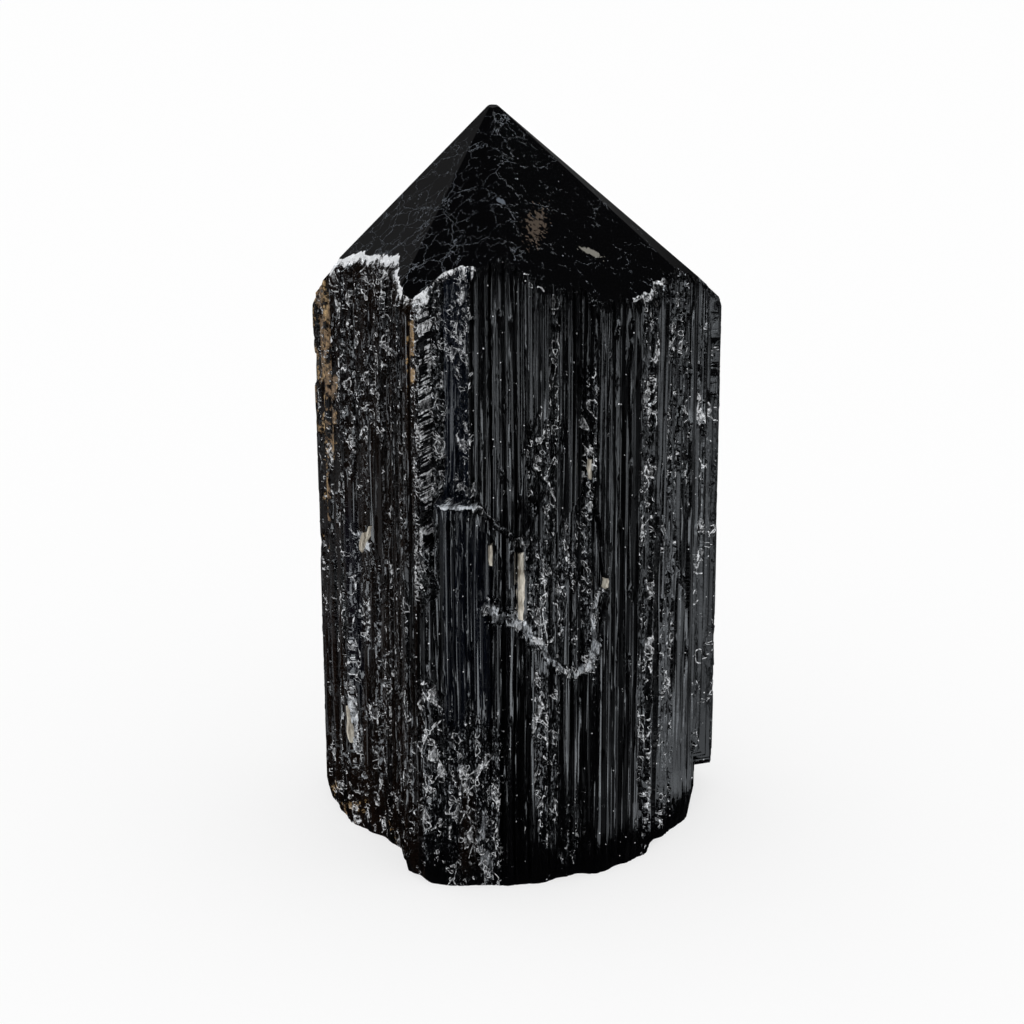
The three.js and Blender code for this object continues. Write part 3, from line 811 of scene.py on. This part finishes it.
def natural_schorl():
    """Schorl as it grew: black glass, with brown clay, pale crushed grains and painted glints of light held
    in its broken skin.
    """
    material, tree = new_material("natural_schorl")
    mm = place_in_mm(tree)
    field = {
        name: add(tree, "ShaderNodeAttribute", out="Fac", attribute_name=name)
        for name in ("feathered", "brown", "blue", "tan", "pale", "torn", "crushed", "rim", "rim_depth")
    }
    across, height = girth_place(tree, mm)
    upright = add(tree, "ShaderNodeMapping", {"Vector": mm, "Scale": (1.0, 1.0, 0.05)})
    cloud = add(tree, "ShaderNodeTexNoise", {
        "Vector": upright, "Scale": 0.9, "Detail": 3.0, "Roughness": 0.65,
    })
    speck = add(tree, "ShaderNodeTexNoise", {"Vector": mm, "Scale": 2.2, "Detail": 3.0, "Roughness": 0.75})
    bend = add(tree, "ShaderNodeTexNoise", {"Vector": mm, "Scale": 0.7, "Detail": 1.0}, out="Color")
    rim_pale = add(tree, "ShaderNodeMath", (field["rim"], field["rim_depth"]), operation="MULTIPLY")
    worn = add(tree, "ShaderNodeMath", (field["pale"], field["torn"]), operation="MAXIMUM")
    broken = add(tree, "ShaderNodeMath", (field["crushed"], worn), operation="MAXIMUM")
    broken = add(tree, "ShaderNodeMath", (broken, field["feathered"]), operation="MAXIMUM")
    broken = add(tree, "ShaderNodeMath", (broken, rim_pale), operation="MAXIMUM")

    # grey powder on the torn skin, partly a painted highlight where the upturned tears and ledge catch the
    # light
    colour, tan_share = body_colour(tree, mm, field, cloud, speck)
    powder_and_highlight = crushed_share_and_highlight(tree, mm, across, height, worn)
    # painted highlight: pale grey laid into the colour of the torn skin and ledge, together with the real
    # crushed powder
    colour = add(tree, "ShaderNodeMix", {0: powder_and_highlight, 6: colour, 7: linear("#cfd4da")}, **LAID_OVER)

    # white lips, a white rim, and white grains about 0.2 mm across, all over: crushed powder and dust, and
    # painted glints of light on the chips' edges, the crumbled rim and the small grains
    lip = lip_and_glint_share(tree, mm, across, height, bend, field, broken, speck)
    level = add(tree, "ShaderNodeMath", (speck, rim_pale), operation="ADD")
    rim_powder_and_glints = add(tree, "ShaderNodeMapRange", {"Value": level, "From Min": 0.80, "From Max": 0.95})
    dust_and_glints = spots(tree, mm, ((0.9, 0.09, 0.70), (1.7, 0.12, 0.62)), 0.5)
    white = add(tree, "ShaderNodeMath", (lip, dust_and_glints), operation="MAXIMUM")
    white = add(tree, "ShaderNodeMath", (white, rim_powder_and_glints), operation="MAXIMUM")
    white = add(tree, "ShaderNodeMath", (white, 0.95), operation="MULTIPLY")
    # painted highlights: the glints of the lips, rim and grains are laid into the colour as near-white
    colour = add(tree, "ShaderNodeMix", {0: white, 6: colour, 7: linear("#f6f8fb")}, **LAID_OVER)

    # gloss: glassy, but duller where clay or powder covers it
    rough = add(tree, "ShaderNodeMapRange", {"Value": cloud, "To Min": 0.05, "To Max": 0.14})
    rough = add(tree, "ShaderNodeMath", (powder_and_highlight, 0.15, rough), operation="MULTIPLY_ADD")
    rough = add(tree, "ShaderNodeMath", (tan_share, 0.35, rough), operation="MULTIPLY_ADD")

    # hair ribs about 0.2 mm wide, and the small flats of the breaks
    hair_place = add(tree, "ShaderNodeMapping", {"Vector": mm, "Scale": (1.0, 1.0, 0.003)})
    hair = add(tree, "ShaderNodeTexNoise", {
        "Vector": hair_place, "Scale": 3.0, "Detail": 1.0, "Roughness": 0.5,
    })
    bump = add(tree, "ShaderNodeBump", {"Strength": 0.22, "Distance": 0.12 * MM, "Height": hair})
    flats = []
    for size, depth in ((0.5 * CHIP, 0.11), (0.28 * CHIP, 0.04)):
        place = chip_place(tree, across, height, size, 0.25, 0.7, SEED)
        curved = add(tree, "ShaderNodeVectorMath", (bend, CHIP_BEND, place), operation="MULTIPLY_ADD")
        flats.append(chip_layer(tree, curved, depth, CHIP_TILT))
    flat = add(tree, "ShaderNodeMath", flats, operation="ADD")
    uneven = add(tree, "ShaderNodeMath", (broken, 0.04), operation="ADD")
    flat = add(tree, "ShaderNodeMath", (flat, uneven), operation="MULTIPLY")
    bump = add(tree, "ShaderNodeBump", {"Strength": 1.0, "Distance": MM, "Height": flat, "Normal": bump})
    shader = add(tree, "ShaderNodeBsdfPrincipled", {
        "Base Color": colour, "Roughness": rough, "IOR": SCHORL_IOR, "Normal": bump,
    })
    add(tree, "ShaderNodeOutputMaterial", (shader,))
    return material


def healed_cracks_and_reflections(tree, mm):
    """A wide net of long cracks and a closer net of short ones, painted as the bright lines of light that
    healed cracks reflect. Each shows in places, mostly on the left.
    """
    bend = add(tree, "ShaderNodeTexNoise", {
        "Vector": mm, "Scale": 0.5, "Detail": 4.0, "Roughness": 0.6,
    }, out="Color")
    bent = add(tree, "ShaderNodeVectorMath", (bend, (3.0, 3.0, 3.0), mm), operation="MULTIPLY_ADD")
    side = add(tree, "ShaderNodeSeparateXYZ", (mm,))
    leftness = add(tree, "ShaderNodeMapRange", {
        "Value": side, "From Min": 4.0, "From Max": -16.0, "To Min": 0.12,
    })
    nets = []
    for number, (spacing, width, hidden) in enumerate(((5.5, 0.036, 0.56), (2.1, 0.024, 0.62))):
        crack = add(tree, "ShaderNodeTexVoronoi", {"Vector": bent, "Scale": 1 / spacing},
                    feature="DISTANCE_TO_EDGE")
        line = add(tree, "ShaderNodeMapRange", {
            "Value": crack, "From Min": 0.3 * width / spacing, "From Max": width / spacing,
            "To Min": 1.0, "To Max": 0.0,
        })
        patch = add(tree, "ShaderNodeTexNoise", {
            "Vector": mm, "Scale": 0.45, "Detail": 3.0, "Roughness": 0.7, "Distortion": number + 0.5,
        })
        patch = add(tree, "ShaderNodeMath", (leftness, 0.35, patch), operation="MULTIPLY_ADD")
        seen = add(tree, "ShaderNodeMapRange", {
            "Value": patch, "From Min": hidden, "From Max": hidden + 0.24,
        })
        nets.append(add(tree, "ShaderNodeMath", (line, seen), operation="MULTIPLY"))
    return add(tree, "ShaderNodeMath", nets, operation="MAXIMUM")


def polished_schorl():
    """Schorl ground and polished: a black mirror crossed by healed cracks, painted as bright reflecting
    lines, and dotted with pinholes.
    """
    material, tree = new_material("polished_schorl")
    mm = place_in_mm(tree)
    pinholes = spots(tree, mm, ((1.3, 0.09, 0.55), (2.6, 0.16, 0.75)), 0.4)
    mark = add(tree, "ShaderNodeMath", (healed_cracks_and_reflections(tree, mm), pinholes), operation="MAXIMUM")
    # painted reflection: the cracks' bright reflecting lines are laid into the colour as grey; the pinholes
    # are grey too
    colour = add(tree, "ShaderNodeMix", {0: mark, 6: linear("#020203"), 7: linear("#525861")}, **LAID_OVER)
    # spots where the grinding opened up clay and pale mineral
    grain = add(tree, "ShaderNodeTexNoise", {"Vector": mm, "Scale": 2.0, "Detail": 3.0, "Roughness": 0.7})
    for centre, reach, ragged, hue in STAINS:
        away = add(tree, "ShaderNodeVectorMath", (mm, centre), operation="SUBTRACT")
        away = add(tree, "ShaderNodeMapping", {"Vector": away, "Rotation": (0, -STAIN_SLANT, 0)})
        away = add(tree, "ShaderNodeVectorMath", (away, reach), operation="DIVIDE")
        away = add(tree, "ShaderNodeVectorMath", (away,), out="Value", operation="LENGTH")
        away = add(tree, "ShaderNodeMath", (grain, -ragged, away), operation="MULTIPLY_ADD")
        spot = add(tree, "ShaderNodeMapRange", {
            "Value": away, "From Min": 1.0 - 0.5 * ragged, "From Max": 0.8 - 0.5 * ragged,
        })
        colour = add(tree, "ShaderNodeMix", {0: spot, 6: colour, 7: linear(hue)}, **LAID_OVER)
    rough = add(tree, "ShaderNodeMapRange", {"Value": mark, "To Min": 0.06, "To Max": 0.35})
    bump = add(tree, "ShaderNodeBump", {"Strength": 0.5, "Distance": 0.04 * MM, "Height": mark})
    shader = add(tree, "ShaderNodeBsdfPrincipled", {
        "Base Color": colour, "Roughness": rough, "IOR": SCHORL_IOR, "Normal": bump,
    })
    add(tree, "ShaderNodeOutputMaterial", (shader,))
    return material


def splinter_feldspar():
    """Weathered feldspar: a cream, waxy mineral, stained browner in its cleavage lines."""
    material, tree = new_material("splinter_feldspar")
    mm = place_in_mm(tree)
    along = add(tree, "ShaderNodeMapping", {"Vector": mm, "Scale": (1.0, 1.0, 0.25)})
    stain = add(tree, "ShaderNodeTexNoise", {
        "Vector": along, "Scale": 2.5, "Detail": 3.0, "Roughness": 0.7,
    })
    stain = add(tree, "ShaderNodeMapRange", {"Value": stain, "From Min": 0.35, "From Max": 0.7})
    cream, brown = linear("#d6d0c2"), linear("#6e6353")
    colour = add(tree, "ShaderNodeMix", {0: stain, 6: cream, 7: brown}, **LAID_OVER)
    bump = add(tree, "ShaderNodeBump", {"Strength": 0.4, "Distance": 0.06 * MM, "Height": stain})
    shader = add(tree, "ShaderNodeBsdfPrincipled", {
        "Base Color": colour, "Roughness": 0.45, "IOR": FELDSPAR_IOR, "Normal": bump,
    })
    add(tree, "ShaderNodeOutputMaterial", (shader,))
    return material


def sawn_schorl():
    """Schorl as the saw left it: dull dark grey with fine straight scores."""
    material, tree = new_material("sawn_schorl")
    mm = place_in_mm(tree)
    along = add(tree, "ShaderNodeMapping", {
        "Vector": mm, "Scale": (0.08, 1.0, 1.0), "Rotation": (0, 0, 0.3),
    })
    score = add(tree, "ShaderNodeTexNoise", {"Vector": along, "Scale": 2.0, "Detail": 4.0})
    dark, pale = linear("#16161a"), linear("#3a3a3d")
    colour = add(tree, "ShaderNodeMix", {0: score, 6: dark, 7: pale}, **LAID_OVER)
    bump = add(tree, "ShaderNodeBump", {"Strength": 0.5, "Distance": 0.06 * MM, "Height": score})
    shader = add(tree, "ShaderNodeBsdfPrincipled", {
        "Base Color": colour, "Roughness": 0.55, "IOR": SCHORL_IOR, "Normal": bump,
    })
    add(tree, "ShaderNodeOutputMaterial", (shader,))
    return material


# ---- the studio ---------------------------------------------------------------------------------------
def soft_box(name, place, aim, size, radiance, mirrored=True, tint=(0.88, 0.94, 1.0)):
    """A rectangular lamp that faces a point. Its strength is the brightness of its face."""
    lamp = bpy.data.lights.new(name, "AREA")
    lamp.shape = "RECTANGLE"
    lamp.size, lamp.size_y = (s * MM for s in size)
    lamp.energy = radiance * math.pi * size[0] * size[1] * MM * MM
    lamp.color = tint
    thing = bpy.data.objects.new(name, lamp)
    thing.location = Vector(place) * MM
    thing.rotation_euler = (Vector(aim) * MM - thing.location).to_track_quat("-Z", "Y").to_euler()
    thing.visible_camera = False
    thing.visible_diffuse = not mirrored
    thing.visible_glossy = mirrored
    bpy.context.scene.collection.objects.link(thing)
    return thing


def studio_floor():
    """A white acrylic sheet, lit from within, that takes a faint shadow."""
    material, tree = new_material("white_acrylic")
    glow = add(tree, "ShaderNodeEmission", {"Color": (1, 1, 1, 1), "Strength": 0.66})
    matte = add(tree, "ShaderNodeBsdfDiffuse", {"Color": linear("#9a9a9a")})
    both = add(tree, "ShaderNodeAddShader", (glow, matte))
    add(tree, "ShaderNodeOutputMaterial", (both,))
    bm = bmesh.new()
    bmesh.ops.create_circle(bm, cap_ends=True, segments=96, radius=4.0)
    mesh = bpy.data.meshes.new("studio_floor")
    bm.to_mesh(mesh)
    bm.free()
    mesh.materials.append(material)
    floor = bpy.data.objects.new("studio_floor", mesh)
    bpy.context.scene.collection.objects.link(floor)
    floor.visible_glossy = False


def studio_world():
    """White to the eye. In reflections it is bright near the horizon, dark overhead and in front of the
    crystal, and dimmer straight behind it."""
    world = bpy.data.worlds.new("studio")
    world.use_nodes = True
    tree = world.node_tree
    tree.nodes.clear()
    way = add(tree, "ShaderNodeTexCoord", out="Generated")
    height = add(tree, "ShaderNodeSeparateXYZ", (way,), out="Z")
    back = height.node.outputs["Y"]
    up = add(tree, "ShaderNodeMapRange", {"Value": height, "From Min": -0.25, "From Max": 0.75})
    ramp = add(tree, "ShaderNodeValToRGB", (up,))
    stops = (
        (0.0, 0.01), (0.26, 0.02), (0.32, 0.5), (0.42, 0.4), (0.58, 0.16), (0.70, 0.10), (0.84, 0.015),
        (1.0, 0.01),
    )
    elements = ramp.node.color_ramp.elements
    while len(elements) < len(stops):
        elements.new(0.5)
    for element, (position, value) in zip(elements, stops):
        element.position = position
        element.color = (value, value, value, 1)
    behind = add(tree, "ShaderNodeMapRange", {
        "Value": back, "From Min": -0.2, "From Max": 0.4, "To Min": 0.05,
    })
    straight = add(tree, "ShaderNodeMapRange", {
        "Value": back, "From Min": 0.75, "From Max": 0.92, "To Min": 1.0, "To Max": 0.28,
    })
    behind = add(tree, "ShaderNodeMath", (behind, straight), operation="MULTIPLY")
    ramp = add(tree, "ShaderNodeMix", {0: behind, 6: (0, 0, 0, 1), 7: ramp}, **LAID_OVER)
    seen = add(tree, "ShaderNodeLightPath", out="Is Glossy Ray")
    colour = add(tree, "ShaderNodeMix", {0: seen, 6: (1, 1, 1, 1), 7: ramp}, **LAID_OVER)
    light = add(tree, "ShaderNodeBackground", {"Color": colour, "Strength": 1.0})
    add(tree, "ShaderNodeOutputWorld", (light,))
    bpy.context.scene.world = world


# Cards that lie on the floor for the upright faces to mirror: (degrees, half width in degrees, near mm,
# far mm, brightness). A face mirrors the card that lies at twice its own angle from the eye.
CARDS = [
    (-2, 3.2, 125, 430, 1.5), (9, 2.6, 125, 430, 1.5), (48, 3.5, 26, 430, 1.3), (60, 2, 26, 430, 0.6),
    (72, 3, 26, 430, 0.9), (92, 1.4, 44, 430, 0.75), (108, 2, 34, 430, 0.08), (126, 1.2, 34, 430, 0.3),
    (116, 12, 34, 430, 0.04), (172, 12, 110, 430, 0.05), (36, 2.5, 40, 430, 3.0), (-36, 2.5, 40, 430, 3.0),
    (-68, 6, 80, 430, 0.2), (-90, 2, 34, 430, 0.7), (-108, 7, 60, 430, 0.05), (-126, 2, 60, 430, 0.3),
    (-152, 9, 60, 430, 0.05), (60, 5, 160, 430, 1.2), (36, 3, 160, 430, 1.4), (106, 4, 150, 430, 0.5),
    (150, 2, 34, 430, 0.6), (165, 2.4, 34, 430, 0.4), (179, 3, 34, 430, 1.4), (-170, 2, 34, 430, 1.0),
    (-158, 2.4, 34, 430, 0.5), (-142, 2.2, 34, 430, 0.9),
]

# Strips that glint in the chips: (name, degrees, rise in degrees, size, brightness). They stand where no
# facet of the ground point mirrors one to an eye that walks round the crystal.
STRIPS = [
    ("strip_left", -58, 33, (300, 130), 12.0), ("strip_right", 52, 29, (300, 130), 12.0),
    ("strip_high", -12, 66, (360, 90), 10.0), ("strip_back_left", -103, 32, (260, 180), 5.0),
    ("strip_back_right", 150, 34, (300, 200), 5.0),
]
STRIP_DISTANCE = 770
STRIP_AIM = 60


def studio_lamps():
    """An overhead box for the floor and the body colour, the floor cards, and the strips."""
    soft_box("overhead", (0, -100, 900), (0, 0, 0), (900, 900), 0.1, mirrored=False)
    for number, (degrees, half, near, far, radiance) in enumerate(CARDS):
        angle = math.radians(degrees)
        middle = (near + far) / 2
        place = (middle * math.sin(angle), -middle * math.cos(angle), 1)
        width = 2 * middle * math.tan(math.radians(half))
        above = (place[0], place[1], 500)
        card = soft_box(f"floor_card_{number}", place, above, (width, far - near), radiance)
        card.rotation_euler = (math.pi, 0, angle)
    for name, degrees, rise, size, radiance in STRIPS:
        angle = math.radians(degrees)
        up = math.radians(rise)
        place = (
            STRIP_DISTANCE * math.sin(angle) * math.cos(up),
            -STRIP_DISTANCE * math.cos(angle) * math.cos(up),
            STRIP_AIM + STRIP_DISTANCE * math.sin(up),
        )
        soft_box(name, place, (0, 0, STRIP_AIM), size, radiance)


def camera():
    """A long lens from the front, a little above the crystal."""
    lens = bpy.data.cameras.new("camera")
    lens.lens = LENS
    lens.sensor_width = 36
    lens.clip_start = 0.02
    eye = bpy.data.objects.new("camera", lens)
    aim = Vector(CAMERA_AIM)
    back = Vector((0, -math.cos(CAMERA_RISE), math.sin(CAMERA_RISE)))
    eye.location = (aim + back * CAMERA_DISTANCE) * MM
    eye.rotation_euler = (math.pi / 2 - CAMERA_RISE, 0, 0)
    bpy.context.scene.collection.objects.link(eye)
    bpy.context.scene.camera = eye


camera()
studio_world()
studio_floor()
studio_lamps()
bpy.context.scene.view_settings.view_transform = "Standard"

FINISHES = [natural_schorl(), polished_schorl(), sawn_schorl(), splinter_feldspar()]
tower = crystal(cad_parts["crystal"], FINISHES)
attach(tower, "root")
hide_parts("crystal")
